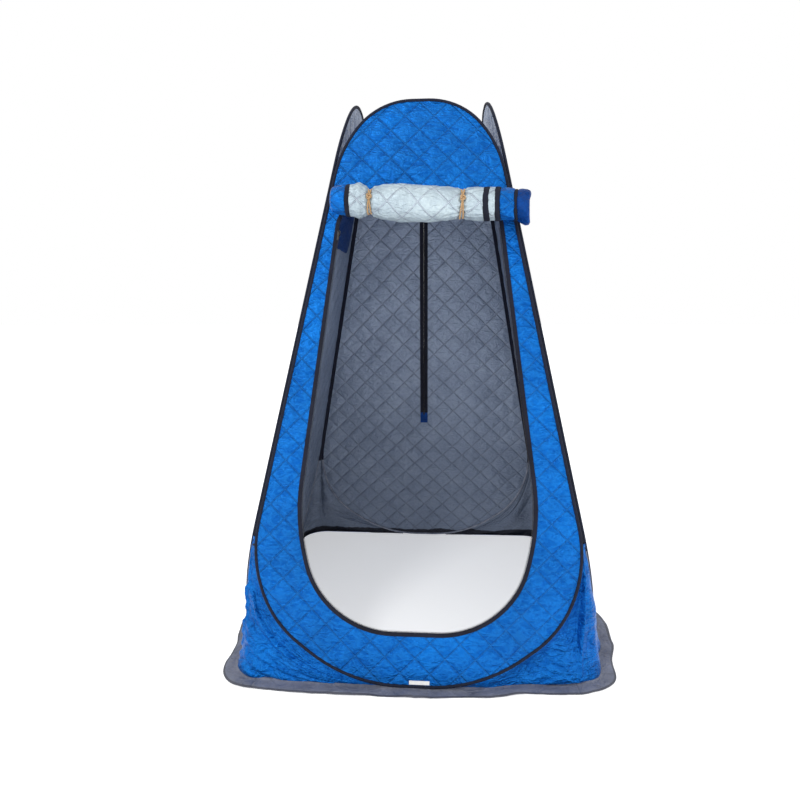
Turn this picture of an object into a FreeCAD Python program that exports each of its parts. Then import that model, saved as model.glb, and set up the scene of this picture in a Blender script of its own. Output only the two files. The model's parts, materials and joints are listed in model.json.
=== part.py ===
import FreeCAD, Part
import math
import os

# Portable steam sauna: a pop-up cabin of four leaning quilted walls, each stretched by its own
# spring-steel hoop, with a rolled-up door, a rear zip, a floor skirt and no floor.
# Row frame: origin at the centre of the footprint on the floor, front towards -Y, +Z up.
# Wall frame: u along the floor line, v up the slope, n out of the cabin, built as X, Y, Z.

# Driving dimensions, millimetres
BASE_HALF = 615.0  # floor line of each wall from the centre
LEAN = math.radians(11.67)  # inward lean of each wall
SIDE_TOP = 1920.0  # hoop centre line at the peak of a side wall, up the slope
FRONT_TOP = 1873.0  # the same on the front and rear walls
HOOP_LOW = 7.0  # hoop centre line at the bottom
WIRE_R = 1.6
FERRULE_R = 2.6
FERRULE_HALF = 30.0
SLEEVE_BORE_R = 3.0
SLEEVE_R = 5.0
HINGE_ARM = 7.5  # from a corner's hinge axis to each hoop centre line
CLEAR = 0.4  # gap round soft pieces
QUILT_HALF = 2.5  # half the thickness of a quilted wall
LINING = (-3.8, -2.8)  # inner cloth, as n from and to
CLOTH = 1.6  # thickness of single cloth laid on the floor
SKIRT_WIDTH = 60.0
FOOT_ROUND = 110.0  # plan radius of the wall foot at each corner
FOOT_LOW = 1.0
GUSSET_TOP = 430.0  # up the slope, where the corner cloth ends
GUSSET_TOP_ROUND = 4.0
GUSSET_CLOTH = 2.0
SEAM = (440.0, 1625.0)  # sewn corner seams, up the slope
PIPING_R = 2.0  # corded piping in each corner seam, on which two walls hinge
ROOF_V = 1640.0  # the roof is sewn in where the arches leave the corner seams
ROOF_CLOTH = 2.0
DOOR_LOW = 171.0
DOOR_TOP = 1545.0
DOOR_SIDE = (259.0, 1455.0)  # a point of the door's straight side, as u and v
DOOR_FLARE = 0.1237  # how much wider the door gets per unit down the wall
DOOR_TAPE = (-12.0, 1.0)  # door zip tape, as inset from and to
DOOR_TAPE_N = (2.8, 3.8)
DOOR_TEETH = (1.2, 5.0)
DOOR_TEETH_N = (2.3, 4.3)
DOOR_TEETH_TOP = 1450.0
ROLL_AXIS = ((-274.0, 1522.0), (346.0, 1497.0))  # rolled door, as u and v of its two ends
ROLL_N = 60.0  # roll axis in front of the wall
ZIP = (690.0, 1625.0)  # rear zip, up the slope
ZIP_TAPE_HALF = 17.0
ZIP_SLIT_HALF = 4.0
TEETH_HALF = 3.0
TEETH_DEPTH = (5.2, 7.2)
TAPE_DEPTH = (4.1, 5.0)
PIN_R = 0.7
PULL_LENGTH = 30.0

SIN, COS, TAN = math.sin(LEAN), math.cos(LEAN), math.tan(LEAN)
TURN = {"front": 0.0, "right": 90.0, "rear": 180.0, "left": 270.0}
TOP = {"front": FRONT_TOP, "right": SIDE_TOP, "rear": FRONT_TOP, "left": SIDE_TOP}
X, Y, Z = FreeCAD.Vector(1, 0, 0), FreeCAD.Vector(0, 1, 0), FreeCAD.Vector(0, 0, 1)
ORIGIN = FreeCAD.Vector(0, 0, 0)


def vec(x, y, z=0.0):
    return FreeCAD.Vector(x, y, z)


def save(shape, node):
    """Each sub-part is written to its own file, after a check that its solids are sound."""
    if not shape.isValid() or not shape.Solids or min(s.Volume for s in shape.Solids) <= 0:
        raise ValueError(f"{node} is not a sound solid")
    shape.exportStep(f"parts/{node}.step")
    print(f"{node}: {len(shape.Solids)} solid, {shape.Volume / 1000:.1f} cm3")


def on_wall(shape, wall):
    """Moves a shape from the wall frame to its wall in the row frame."""
    lean = FreeCAD.Rotation(X, 90.0 - math.degrees(LEAN))
    stand = FreeCAD.Placement(vec(0, -BASE_HALF, 0), lean)
    turn = FreeCAD.Placement(ORIGIN, FreeCAD.Rotation(Z, TURN[wall]))
    placed = shape.copy()
    placed.Placement = turn.multiply(stand).multiply(shape.Placement)
    return placed


def half_at(z):
    """Half the width between two opposite wall planes at a height."""
    return BASE_HALF - z * TAN


def side_u(v):
    """Hoop centre line beside a corner seam."""
    return BASE_HALF - math.sqrt(2) * HINGE_ARM - v * SIN


def mirrored(half):
    """A closed outline from its right half, listed from the bottom up."""
    return half + [(-u, v, cut) for u, v, cut in reversed(half)]


def hoop_outline(top):
    """Corners of the hoop's centre line as u, v and the length rounded off each side."""
    shoulder = top - 157.4
    return mirrored(
        [
            (202.0, HOOP_LOW, 160.0),
            (455.6, 191.3, 110.0),
            (side_u(400.0), 400.0, 105.0),
            (side_u(shoulder), shoulder, 90.0),
            (side_u(shoulder) - 122.9, top, 108.0),
        ]
    )


def door_u(v):
    """Door opening's straight side."""
    return DOOR_SIDE[0] + DOOR_FLARE * (DOOR_SIDE[1] - v)


def door_outline():
    return mirrored(
        [
            (171.0, DOOR_LOW, 100.0),
            (319.8, 291.8, 90.0),
            (door_u(514.7), 514.7, 120.0),
            (door_u(DOOR_TOP), DOOR_TOP, 90.0),
        ]
    )


def box_outline(half, low, high, cut):
    return mirrored([(half, low, cut), (half, high, cut)])


def loop(outline, inset=0.0, n=0.0):
    """Straight runs joined by tangent arcs, moved inwards by an inset."""
    points = [vec(u, v) for u, v, _ in outline]
    arcs = []
    for i, corner in enumerate(points):
        cut = outline[i][2]
        came = (corner - points[i - 1]).normalize()
        goes = (points[(i + 1) % len(points)] - corner).normalize()
        half_turn = came.getAngle(goes) / 2
        radius = cut / math.tan(half_turn)
        inward = (goes - came).normalize()
        centre = corner + inward * (radius / math.cos(half_turn))
        start = corner - came * cut + vec(-came.y, came.x) * inset
        end = corner + goes * cut + vec(-goes.y, goes.x) * inset
        middle = centre - inward * (radius - inset)
        arcs.append([p + vec(0, 0, n) for p in (start, middle, end)])
    edges = []
    for i, (start, middle, end) in enumerate(arcs):
        before = arcs[i - 1][2]
        if before.distanceToPoint(start) > 0.01:
            edges.append(Part.LineSegment(before, start).toShape())
        edges.append(Part.Arc(start, middle, end).toShape())
    return Part.Wire(edges)


def plate(outline, inset, low, high, holes=()):
    """A flat piece of the wall between two values of n, with holes given as outline and inset."""
    face = Part.Face([loop(outline, inset, low)] + [loop(o, i, low) for o, i in holes])
    face.validate()
    return face.extrude(vec(0, 0, high - low))


def box(low, high):
    return Part.makeBox(*(b - a for a, b in zip(low, high)), vec(*low))


def ring_sweep(top, outer, bore=0.0):
    """A round tube or wire along the hoop's centre line, started on the bottom straight."""
    path = loop(hoop_outline(top))
    start = vec(0, HOOP_LOW)
    edges = path.Edges
    bottom = min(range(len(edges)), key=lambda i: edges[i].CenterOfMass.y)
    ahead = edges[bottom].Vertexes[-1].Point
    behind = edges[bottom].Vertexes[0].Point
    order = edges[bottom + 1 :] + edges[:bottom]
    first = Part.LineSegment(start, ahead).toShape()
    last = Part.LineSegment(behind, start).toShape()
    path = Part.Wire([first] + order + [last])

    def solid(radius):
        circle = Part.Wire(Part.Circle(start, X, radius).toShape())
        return path.makePipeShell([circle], True, False)

    return solid(outer).cut(solid(bore)) if bore else solid(outer)


def wall(name):
    """Hoop, sleeve, quilted outer cloth and lining of one wall."""
    outline = hoop_outline(TOP[name])
    edge = SLEEVE_R + CLEAR
    holes = [(door_outline(), 0.0)] if name == "front" else []
    if name == "rear":
        holes = [(box_outline(ZIP_SLIT_HALF, ZIP[0] + 5, ZIP[1] - 5, 3.9), 0.0)]
    save(on_wall(ring_sweep(TOP[name], WIRE_R), name), f"{name}_hoop")
    tube = Part.makeCylinder(FERRULE_R, 2 * FERRULE_HALF, vec(-FERRULE_HALF, HOOP_LOW), X)
    bore = Part.makeCylinder(WIRE_R + 0.2, 2 * FERRULE_HALF, vec(-FERRULE_HALF, HOOP_LOW), X)
    save(on_wall(tube.cut(bore), name), f"{name}_hoop_ferrule")
    save(on_wall(ring_sweep(TOP[name], SLEEVE_R, SLEEVE_BORE_R), name), f"{name}_hoop_sleeve")
    save(on_wall(plate(outline, edge, -QUILT_HALF, QUILT_HALF, holes), name), f"{name}_quilt")
    save(on_wall(plate(outline, edge, *LINING, holes), name), f"{name}_lining")


def skirt(name):
    """The straight part of the floor skirt along one wall."""
    reach = half_at(0) - FOOT_ROUND - 0.3
    inner = half_at(0) + 2.5
    strip = box((-reach, -half_at(0) - SKIRT_WIDTH, 0), (reach, -inner, CLOTH))
    save(strip.rotate(ORIGIN, Z, TURN[name]), f"{name}_skirt")


def arc_band(centre, inner, outer, z, start, end):
    """A closed band between two arcs round a plan centre, with angles in degrees."""

    def at(radius, angle):
        turn = math.radians(angle)
        return vec(centre[0] + radius * math.cos(turn), centre[1] + radius * math.sin(turn), z)

    middle = (start + end) / 2
    return Part.Wire(
        [
            Part.Arc(at(outer, start), at(outer, middle), at(outer, end)).toShape(),
            Part.LineSegment(at(outer, end), at(inner, end)).toShape(),
            Part.Arc(at(inner, end), at(inner, middle), at(inner, start)).toShape(),
            Part.LineSegment(at(inner, start), at(outer, start)).toShape(),
        ]
    )


def corner_fold(start, end, gap):
    """The rounded fold of a corner's loose cloth, between two plan angles."""
    bands = []
    for v, radius in ((FOOT_LOW, FOOT_ROUND), (GUSSET_TOP, GUSSET_TOP_ROUND)):
        z = v * COS
        centre = half_at(z) - radius
        slack = math.degrees(gap / radius)
        ends = [a + slack if a == start != -90 else a - slack if a == end != 0 else a
                for a in (start, end)]
        bands.append(arc_band((centre, -centre), radius - GUSSET_CLOTH, radius, z, *ends))
    return Part.makeLoft(bands, True, True)


def gusset_side(name, side):
    """The flat part of a corner's loose cloth, between a hoop, the floor and the fold."""
    top_u = half_at(GUSSET_TOP * COS) - GUSSET_TOP_ROUND
    foot_u = half_at(FOOT_LOW * COS) - FOOT_ROUND
    corners = [(110, FOOT_LOW), (foot_u, FOOT_LOW), (top_u, GUSSET_TOP), (300, GUSSET_TOP)]
    points = [vec(side * u, v) for u, v in corners]
    face = Part.Face(Part.makePolygon(points + points[:1]))
    hoop = Part.Face(loop(hoop_outline(TOP[name]), -SLEEVE_R - CLEAR))
    cloth = on_wall(face.cut(hoop), name)
    turn = math.radians(TURN[name])
    return cloth.extrude(vec(-math.sin(turn), math.cos(turn)) * GUSSET_CLOTH)


def fused(*shapes):
    joined = shapes[0].fuse(list(shapes[1:])).removeSplitter()
    if len(joined.Solids) != 1:
        raise ValueError(f"{len(joined.Solids)} solids where one was meant")
    return joined.Solids[0]


def corner(near, far, label):
    """Loose corner cloth, skirt corner and corded seam between two walls."""
    turn = TURN[near]
    centre = half_at(0) - FOOT_ROUND
    inner, outer = FOOT_ROUND + 2.5, FOOT_ROUND + SKIRT_WIDTH

    def turned(shape):
        return shape.copy().rotate(ORIGIN, Z, turn)

    def skirt_part(start, end):
        face = Part.Face(arc_band((centre, -centre), inner, outer, 0, start, end))
        return turned(face.extrude(vec(0, 0, CLOTH)))

    near_side, far_side = gusset_side(near, 1), gusset_side(far, -1)
    if label == "front_right":
        half = 0.15
        save(fused(near_side, turned(corner_fold(-90, -45, half))), "front_gusset_right")
        save(fused(far_side, turned(corner_fold(-45, 0, half))), "right_gusset_front")
        slack = math.degrees(half / inner)
        save(skirt_part(-90, -45 - slack), "front_skirt_corner")
        save(skirt_part(-45 + slack, 0), "right_skirt_corner")
    else:
        save(fused(near_side, turned(corner_fold(-90, 0, 0.0)), far_side), f"{label}_gusset")
        save(skirt_part(-90, 0), f"{label}_skirt_corner")
    axis_u = HINGE_ARM / math.sqrt(2)
    low, high = (vec(side_u(v) + axis_u, -side_u(v) - axis_u, v * COS) for v in SEAM)
    along = high - low
    piping = Part.makeCylinder(PIPING_R, along.Length, low, along)
    save(turned(piping), f"{label}_seam_piping")


def roof_gore(name):
    """One of the four triangles of the flat roof, sewn to its wall."""
    z = ROOF_V * COS
    edge = half_at(z) - 7.3
    points = [vec(0, -0.6, z), vec(-edge + 0.6, -edge, z), vec(edge - 0.6, -edge, z)]
    face = Part.Face(Part.makePolygon(points + points[:1]))
    save(face.extrude(vec(0, 0, ROOF_CLOTH)).rotate(ORIGIN, Z, TURN[name]), f"{name}_roof_gore")


def on_roll(shape):
    """Moves a shape from an axis along X, with x as u, to the tilted roll axis."""
    (u0, v0), (u1, v1) = ROLL_AXIS
    tilt = math.degrees(math.atan2(v1 - v0, u1 - u0))
    v_mid = v0 - u0 * (v1 - v0) / (u1 - u0)
    placed = shape.copy()
    placed.Placement = FreeCAD.Placement(vec(0, v_mid, ROLL_N), FreeCAD.Rotation(Z, tilt))
    return on_wall(placed, "front")


def turned_solid(stations, smooth):
    """A solid of revolution about X through x and radius stations."""
    points = [vec(x, r) for x, r in stations]
    if smooth:
        spline = Part.BSplineCurve()
        spline.interpolate(points[1:-1])
        edges = [Part.LineSegment(points[0], points[1]).toShape(), spline.toShape(),
                 Part.LineSegment(points[-2], points[-1]).toShape()]
    else:
        edges = [Part.LineSegment(a, b).toShape() for a, b in zip(points, points[1:])]
    first, last = vec(points[0].x, 0), vec(points[-1].x, 0)
    edges = [Part.LineSegment(first, points[0]).toShape()] + edges
    edges += [Part.LineSegment(points[-1], last).toShape(), Part.LineSegment(last, first).toShape()]
    return Part.Face(Part.Wire(edges)).revolve(ORIGIN, X, 360)


def tube(inner, outer, start, end):
    length = end - start
    return Part.makeCylinder(outer, length, vec(start, 0), X).cut(
        Part.makeCylinder(inner, length, vec(start, 0), X))


def rolled_door():
    """The door, rolled up from its foot and tied above the doorway."""
    stations = [(-225, 46), (-208, 46), (-185, 50), (-151, 36), (-115, 50), (-20, 53), (70, 52),
                (100, 50), (136, 42), (170, 48), (200, 48), (255, 48)]
    roll = turned_solid(stations, True)
    section = [(1560, 2.8), (1570, 2.8), (1552, 44), (1542, 44)]
    flaps = []
    for start, end in ((-205, -162), (-140, 125), (147, 195)):  # clear of the two ties
        points = [vec(start, v, n) for v, n in section]
        face = Part.Face(Part.makePolygon(points + points[:1]))
        flaps.append(on_wall(face.extrude(vec(end - start, 0, 0)), "front"))
    save(fused(on_roll(roll), *flaps), "door_roll")
    save(on_roll(tube(46.3, 48, -225, -212)), "door_roll_left_tape")
    tapes = [tube(48.3, 50, 205, 224), tube(48.3, 50, 240, 255)]
    save(on_roll(Part.makeCompound(tapes)), "door_roll_right_tapes")
    left = turned_solid([(-274, 30), (-266, 38), (-240, 44), (-225.3, 46)], False)
    right = turned_solid([(255.3, 46), (300, 46), (325, 50), (340, 50), (346, 44)], False)
    save(on_roll(left), "door_roll_left_end")
    save(on_roll(right), "door_roll_right_end")
    for label, x, waist in (("left", -151, 36), ("right", 136, 42)):
        ring = Part.makeTorus(waist + 3.8, 3, vec(x, 0), X)
        knot = Part.makeSphere(6, vec(x, 2, waist + 8))
        save(on_roll(fused(ring, knot)), f"door_tie_{label}")


def slider_lugs(base):
    """Two lugs and the pin of a zip slider, above its top plate."""
    pin_z = base + 2.5
    lugs = [box((w, 3.5, base), (w + 1, 6.5, base + 3.7)) for w in (-2.5, 1.5)]
    return lugs + [Part.makeCylinder(PIN_R, 4.0, vec(-2.0, 5, pin_z), X)]


def slider_pull(base):
    """A zip pull: an eye round the slider's pin and a tab that hangs from it."""
    pin_z = base + 2.5
    eye = Part.makeCylinder(1.8, 2.4, vec(-1.2, 5, pin_z), X)
    neck = box((-1.2, 1.0, pin_z - 0.7), (1.2, 4.6, pin_z + 0.7))
    outline = [(3.2, 6 - PULL_LENGTH, 1.5), (2.6, 1.6, 1.0)]
    tab = plate(mirrored(outline), 0.0, pin_z - 0.7, pin_z + 0.7)
    bore = Part.makeCylinder(PIN_R + 0.3, 6, vec(-3, 5, pin_z), X)
    return fused(eye, neck, tab).cut(bore)


def door_zip():
    """Tape and teeth round the doorway, and the slider parked at the top of the left side."""
    outline = door_outline()
    tape = plate(outline, DOOR_TAPE[0], *DOOR_TAPE_N, [(outline, DOOR_TAPE[1])])
    save(on_wall(tape, "front"), "door_zip_tape")
    teeth = plate(outline, DOOR_TEETH[0], *DOOR_TEETH_N, [(outline, DOOR_TEETH[1])])
    above = box((-400, DOOR_TEETH_TOP, 0), (400, DOOR_TOP + 50, 10))
    save(on_wall(teeth.cut(above), "front"), "door_zip_teeth")
    park_v = 1435.0
    slope = math.degrees(math.atan(DOOR_FLARE))
    place = FreeCAD.Placement(vec(-door_u(park_v), park_v), FreeCAD.Rotation(Z, -slope))
    shell = [
        box((5.4, -8, -0.1), (7.0, 8, 6.5)),
        box((-2.5, -8, 4.7), (7.0, 8, 6.5)),
        box((0.5, -8, -0.1), (7.0, 8, 1.9)),
    ]
    middle = 2.25  # the lugs stand on the middle of the top plate
    lugs = [s.translate(vec(middle, 0, 0)) for s in slider_lugs(6.5)]
    for shape, node in ((fused(*shell, *lugs), "door_zip_slider"),
                        (slider_pull(6.5).translate(vec(middle, 0, 0)), "door_zip_pull")):
        shape.Placement = place.multiply(shape.Placement)
        save(on_wall(shape, "front"), node)


def rear_zip():
    """Vertical zip on the inner face of the rear wall, slider at its foot."""
    inward = FreeCAD.Placement(ORIGIN, FreeCAD.Rotation(Y, 180))

    def inside(shape):
        shape.Placement = inward.multiply(shape.Placement)
        return on_wall(shape, "rear")

    low, high = ZIP
    slit = [(box_outline(1.0, low + 8, high - 8, 0.9), 0.0)]
    tape = plate(box_outline(ZIP_TAPE_HALF, low, high, 2.0), 0.0, *TAPE_DEPTH, slit)
    save(inside(tape), "rear_zip_tape")
    teeth = plate(box_outline(TEETH_HALF, low + 6, high - 6, 1.0), 0.0, *TEETH_DEPTH)
    save(inside(teeth), "rear_zip_teeth")
    patch = plate(box_outline(ZIP_TAPE_HALF, low - 52, low - 0.4, 3.0), 0.0, *TAPE_DEPTH)
    save(inside(patch), "rear_zip_patch")
    park = vec(0, low + 16, 0)
    shell = [box((-5.0, -8, 5.4), (-3.4, 8, 9.6)), box((3.4, -8, 5.4), (5.0, 8, 9.6)),
             box((-5.0, -8, 7.6), (5.0, 8, 9.6))]
    slider = fused(*shell, *slider_lugs(9.6))
    save(inside(slider.translate(park)), "rear_zip_slider")
    save(inside(slider_pull(9.6).translate(park)), "rear_zip_pull")


def trim():
    """Unlined vent cloth high inside the left wall, and a blank label on the front hem."""
    vent = plate(box_outline(235.0, 1425.0, 1615.0, 45.0), 0.0, -5.1, -4.1)
    save(on_wall(vent, "left"), "left_vent_cloth")
    label = box((-17, 14, 2.8), (46, 26, 3.5))
    save(on_wall(label, "front"), "front_label")


os.makedirs("parts", exist_ok=True)
for wall_name in TURN:
    wall(wall_name)
    skirt(wall_name)
    roof_gore(wall_name)
corner("front", "right", "front_right")
corner("right", "rear", "rear_right")
corner("rear", "left", "rear_left")
corner("left", "front", "front_left")
rolled_door()
door_zip()
rear_zip()
trim()
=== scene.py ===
import json
import math

import bpy
import numpy as np
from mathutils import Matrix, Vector, geometry


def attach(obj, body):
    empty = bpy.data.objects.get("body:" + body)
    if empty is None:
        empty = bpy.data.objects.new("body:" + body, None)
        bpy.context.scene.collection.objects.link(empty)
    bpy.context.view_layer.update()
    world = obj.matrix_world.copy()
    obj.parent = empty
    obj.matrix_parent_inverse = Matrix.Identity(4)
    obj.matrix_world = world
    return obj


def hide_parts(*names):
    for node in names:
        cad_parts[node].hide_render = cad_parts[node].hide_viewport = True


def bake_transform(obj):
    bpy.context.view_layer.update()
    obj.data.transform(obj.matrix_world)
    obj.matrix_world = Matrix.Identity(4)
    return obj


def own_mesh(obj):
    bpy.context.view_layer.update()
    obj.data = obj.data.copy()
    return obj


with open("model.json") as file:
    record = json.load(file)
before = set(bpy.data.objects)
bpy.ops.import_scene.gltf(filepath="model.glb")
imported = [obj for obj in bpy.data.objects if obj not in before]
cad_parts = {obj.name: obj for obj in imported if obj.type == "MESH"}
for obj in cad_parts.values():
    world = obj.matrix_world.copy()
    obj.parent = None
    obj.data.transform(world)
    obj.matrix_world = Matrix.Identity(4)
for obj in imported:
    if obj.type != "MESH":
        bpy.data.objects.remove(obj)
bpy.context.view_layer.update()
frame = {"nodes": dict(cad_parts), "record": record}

# Driving dimensions of the frame, in metres: u along a wall's floor line, v up its slope, n outwards.
BASE_HALF = 0.615
LEAN = math.radians(11.67)
HINGE_ARM = 0.0075
HOOP_LOW = 0.007
TOPS = {"front": 1.873, "right": 1.920, "rear": 1.873, "left": 1.920}
TURNS = {"front": 0.0, "right": 90.0, "rear": 180.0, "left": 270.0}
SLEEVE_R = 0.005
EDGE = SLEEVE_R - 0.001  # the cloth runs just into the hem sleeve
FOOT_ROUND = 0.110
GUSSET_FROM, GUSSET_TOP = 0.110, 0.458  # the corner cloth's distance from a wall's middle, and its height
DOOR_LOW, DOOR_TOP = 0.171, 1.545
DOOR_SIDE = (0.259, 1.455)
DOOR_FLARE = 0.1237
DOOR_ZIP_END = 1.45  # the teeth stop here, under the roll
ZIP_LOW, ZIP_HIGH = 0.690, 1.625
ZIP_SLIT_HALF, ZIP_TAPE_HALF, ZIP_PATCH = 0.0035, 0.018, 0.054
SEAM = (0.425, 1.645)  # the stretch where neighbouring walls are sewn together
VENT = (0.235, 1.425, 1.615)
ROLL_AXIS = ((-0.274, 1.522), (0.346, 1.497))
ROLL_N = 0.060
ROOF_V, ROOF_INSET = 1.640, 0.0085
QUILT_PITCH = 0.066
QUILT_STEP = QUILT_PITCH / 8
SIN, COS, TAN = math.sin(LEAN), math.cos(LEAN), math.tan(LEAN)
SIDE_LENGTH = 2 * (BASE_HALF - FOOT_ROUND) + FOOT_ROUND * math.pi / 2  # foot of one wall and its corner
ROUND = 4 * SIDE_LENGTH
TIES_AT = (-0.151, 0.136)  # along the roll
LABEL_AT, LABEL_TOP = 0.0145, 0.034


# ---------------------------------------------------------------- camera and light

def camera():
    """In front of the doorway, looking slightly down."""
    data = bpy.data.cameras.new("camera")
    data.lens, data.sensor_width = 25.4, 36.0
    eye = bpy.data.objects.new("camera", data)
    eye.location = (0.0646, -2.203, 1.155)
    eye.rotation_mode = "XYZ"
    eye.rotation_euler = (math.radians(90 - 8.91), math.radians(0.16), math.radians(3.83))
    bpy.context.collection.objects.link(eye)
    bpy.context.scene.camera = eye


def area_light(name, place, aim, size, power):
    """A square lamp of a given width and power in watts, turned to face a point."""
    data = bpy.data.lights.new(name, "AREA")
    data.size, data.energy = size, power
    lamp = bpy.data.objects.new(name, data)
    lamp.location = place
    lamp.rotation_euler = (Vector(aim) - Vector(place)).to_track_quat("-Z", "Y").to_euler()
    bpy.context.collection.objects.link(lamp)


def studio():
    """White world, two soft lamps and a pale floor."""
    world = bpy.data.worlds.new("studio")
    bpy.context.scene.world = world
    world.use_nodes = True
    shade = world.node_tree.nodes["Background"]
    shade.inputs["Color"].default_value = (1.0, 1.0, 1.0, 1)
    shade.inputs["Strength"].default_value = 1.0
    area_light("key", (-1.7, -3.2, 3.4), (0, 0, 0.9), 1.0, 50)
    area_light("fill", (2.9, -2.4, 1.2), (0.3, 0, 0.4), 0.8, 16)
    bpy.context.scene.view_settings.view_transform = "Standard"
    bpy.ops.mesh.primitive_grid_add(x_subdivisions=2, y_subdivisions=2, size=90)
    floor = bpy.context.object
    floor.name = "studio_floor"
    floor.location.z = -0.0005
    floor.data.materials.append(floor_material())


# ---------------------------------------------------------------- materials

class Maker:
    """A material's node tree, with short ways to add nodes to it."""

    def __init__(self, name, **sockets):
        self.material = bpy.data.materials.new(name)
        self.material.use_nodes = True
        self.nodes = self.material.node_tree.nodes
        self.links = self.material.node_tree.links
        self.shader = self.nodes["Principled BSDF"]
        for socket, value in sockets.items():
            self.shader.inputs[socket.replace("_", " ")].default_value = value

    def feed(self, socket, value):
        if isinstance(value, bpy.types.NodeSocket):
            self.links.new(value, socket)
        else:
            socket.default_value = value

    def add(self, kind, output=0, inputs=(), **settings):
        node = self.nodes.new("ShaderNode" + kind)
        for name, value in settings.items():
            setattr(node, name, value)
        for key, value in dict(inputs).items():
            self.feed(node.inputs[key], value)
        return node.outputs[output]

    def math(self, operation, *values, clamp=False):
        return self.add("Math", inputs=enumerate(values), operation=operation, use_clamp=clamp)

    def times(self, value, factor):
        return self.math("MULTIPLY", value, factor)

    def uv(self):
        return self.add("UVMap", uv_map="cloth")

    def place(self):
        return self.add("TexCoord", output=3)

    def noise(self, vector, scale, detail=3.0, roughness=0.5, distortion=0.0):
        inputs = {"Vector": vector, "Scale": scale, "Detail": detail,
                  "Roughness": roughness, "Distortion": distortion}
        return self.add("TexNoise", inputs=inputs)

    def axes(self, vector):
        split = self.nodes.new("ShaderNodeSeparateXYZ")
        self.links.new(vector, split.inputs[0])
        return split.outputs[:3]

    def total(self, *weighted):
        """Sum of values, each given with its weight."""
        result = None
        for value, weight in weighted:
            part = self.times(value, weight)
            result = part if result is None else self.math("ADD", result, part)
        return result

    def woven_bump(self, place, scale, strength):
        """The fine plain weave that a cloth's larger bumps lie on."""
        x, y, z = (self.math("SINE", self.math("MULTIPLY", axis, scale)) for axis in self.axes(place))
        height = self.math("ADD", self.math("MULTIPLY", x, z), self.math("MULTIPLY", y, 0.5))
        return self.bump(height, strength, 0.0004)

    def wrinkles(self, scale, sharp=7.0, stretch=(1.0, 1.0, 2.0)):
        """Thin meandering folds: 1 on a fold's crest, falling to 0 beside it."""
        vector = self.add("VectorMath", inputs={0: self.place(), 1: stretch}, operation="MULTIPLY")
        swirl = self.noise(vector, scale, 2.0, 0.5, 0.9)
        away = self.math("ABSOLUTE", self.math("SUBTRACT", swirl, 0.5))
        return self.math("SUBTRACT", 1.0, self.math("MULTIPLY", away, sharp, clamp=True))

    def ramp(self, value, stops):
        node = self.nodes.new("ShaderNodeValToRGB")
        while len(node.color_ramp.elements) < len(stops):
            node.color_ramp.elements.new(0.5)
        for element, (position, colour) in zip(node.color_ramp.elements, stops):
            element.position, element.color = position, (*colour, 1)
        self.links.new(value, node.inputs["Fac"])
        return node.outputs["Color"]

    def mix(self, share, a, b):
        node = self.nodes.new("ShaderNodeMix")
        node.data_type = "RGBA"
        self.feed(node.inputs["Factor"], share)
        for key, value in ((6, a), (7, b)):
            self.feed(node.inputs[key], value if isinstance(value, bpy.types.NodeSocket) else (*value, 1))
        return node.outputs[2]

    def span(self, value, low, high, new_low, new_high):
        inputs = enumerate((value, low, high, new_low, new_high))
        return self.add("MapRange", inputs=inputs)

    def bump(self, height, strength, distance, normal=None):
        inputs = {"Height": height, "Strength": strength, "Distance": distance}
        if normal is not None:
            inputs["Normal"] = normal
        return self.add("Bump", inputs=inputs)

    def colour(self, value):
        self.feed(self.shader.inputs["Base Color"], value)

    def roughness(self, value, low, high):
        self.feed(self.shader.inputs["Roughness"], self.span(value, 0.3, 0.7, low, high))


    def normal(self, value):
        self.links.new(value, self.shader.inputs["Normal"])

    def stitches(self, pitch):
        """Distance from the nearest line of the diamond quilting, in pitches, and the thread's dashes."""
        u, v, _ = self.axes(self.uv())
        scale = 1 / (math.sqrt(2) * pitch)
        a = self.math("MULTIPLY", self.math("ADD", u, v), scale)
        b = self.math("MULTIPLY", self.math("SUBTRACT", v, u), scale)
        near = [self.math("PINGPONG", t, 0.5) for t in (a, b)]
        thread = []
        for line, along in ((near[0], b), (near[1], a)):
            on_line = self.math("LESS_THAN", line, 0.0009 / pitch)
            dash = self.math("LESS_THAN", self.math("FRACT", self.math("MULTIPLY", along, 18.0)), 0.72)
            thread.append(self.math("MULTIPLY", on_line, dash))
        return self.math("MINIMUM", *near), self.math("MAXIMUM", *thread)


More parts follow.
